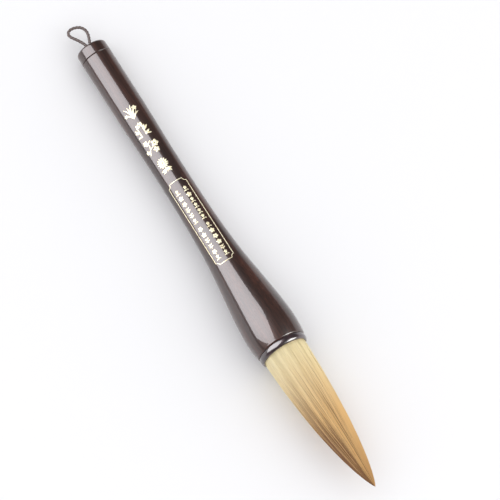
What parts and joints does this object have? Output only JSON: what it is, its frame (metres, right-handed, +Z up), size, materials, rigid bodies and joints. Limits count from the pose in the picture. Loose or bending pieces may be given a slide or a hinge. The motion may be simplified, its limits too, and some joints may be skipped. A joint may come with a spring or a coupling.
{
  "type": "calligraphy brush",
  "caption": "Calligraphy brush with a turned wooden handle flaring to a bulb, a bead ring, a tapered tuft of mixed hair that bends, and a cord loop on the end cap.",
  "frame": {"origin": "on the table under the middle of the brush as it lies, half way from the cap's end to the tip of the hair", "axes": "+X towards the tip of the hair, +Y to the left of the brush seen from the tail, +Z up from the table"},
  "size_m": [0.2491, 0.0242, 0.0242],
  "materials": {
    "lacquered_wood": "gloss lacquer over dark reddish-brown hardwood",
    "ring": "polished, dark purple-brown",
    "gilt": "gold paint in shallow engraving",
    "cover_hair": "straight fine animal hair, cream at the base to golden brown",
    "lining_hair": "soft cream hair",
    "core_hair": "springy brown hair",
    "binding_thread": "twisted hemp thread",
    "rosin": "melted rosin",
    "glue": "set glue",
    "waxed_cord": "stiff waxed cord"
  },
  "bodies": {
    "grip": {"handle": "lacquered_wood", "end_cap": "lacquered_wood", "mouth_ring": "ring", "root_binding": "binding_thread", "root_seal": "rosin", "socket_glue": "glue", "core_hair_root": "core_hair", "lining_hair_root": "lining_hair", "cover_hair_root": "cover_hair"},
    "belly": {"core_hair_belly": "core_hair", "lining_hair_belly": "lining_hair", "cover_hair_belly": "cover_hair"},
    "waist": {"core_hair_waist": "core_hair", "lining_hair_waist": "lining_hair", "cover_hair_waist": "cover_hair"},
    "point": {"core_hair_point": "core_hair", "cover_hair_point": "cover_hair"},
    "cord_neck": {"loop_knot": "waxed_cord"},
    "loop": {"hanging_loop": "waxed_cord"}
  },
  "joints": [
    {"name": "tuft_press", "type": "hinge", "parent": "grip", "child": "belly", "pos_m": [0.05077, 0, 0.01265], "axis": [0, 1, 0], "range_deg": [-20, 20], "stiffness_Nm_per_rad": 0.08},
    {"name": "tuft_sway", "type": "hinge", "parent": "belly", "child": "waist", "pos_m": [0.07385, 0, 0.01342], "axis": [-0.0333, 0, 0.9994], "range_deg": [-25, 25], "stiffness_Nm_per_rad": 0.05},
    {"name": "point_press", "type": "hinge", "parent": "waist", "child": "point", "pos_m": [0.09483, 0, 0.01412], "axis": [0, 1, 0], "range_deg": [-28, 28], "stiffness_Nm_per_rad": 0.02},
    {"name": "loop_turn", "type": "hinge", "parent": "grip", "child": "cord_neck", "pos_m": [-0.11804, 0, 0.00703], "axis": [0.9994, 0, 0.0333], "continuous": true},
    {"name": "loop_fold", "type": "hinge", "parent": "cord_neck", "child": "loop", "pos_m": [-0.11879, 0, 0.00701], "axis": [0, 1, 0], "range_deg": [-70, 70]}
  ],
  "couplings": [
    {"joint": "point_press", "follows": "tuft_press", "ratio": 1.4}
  ]
}
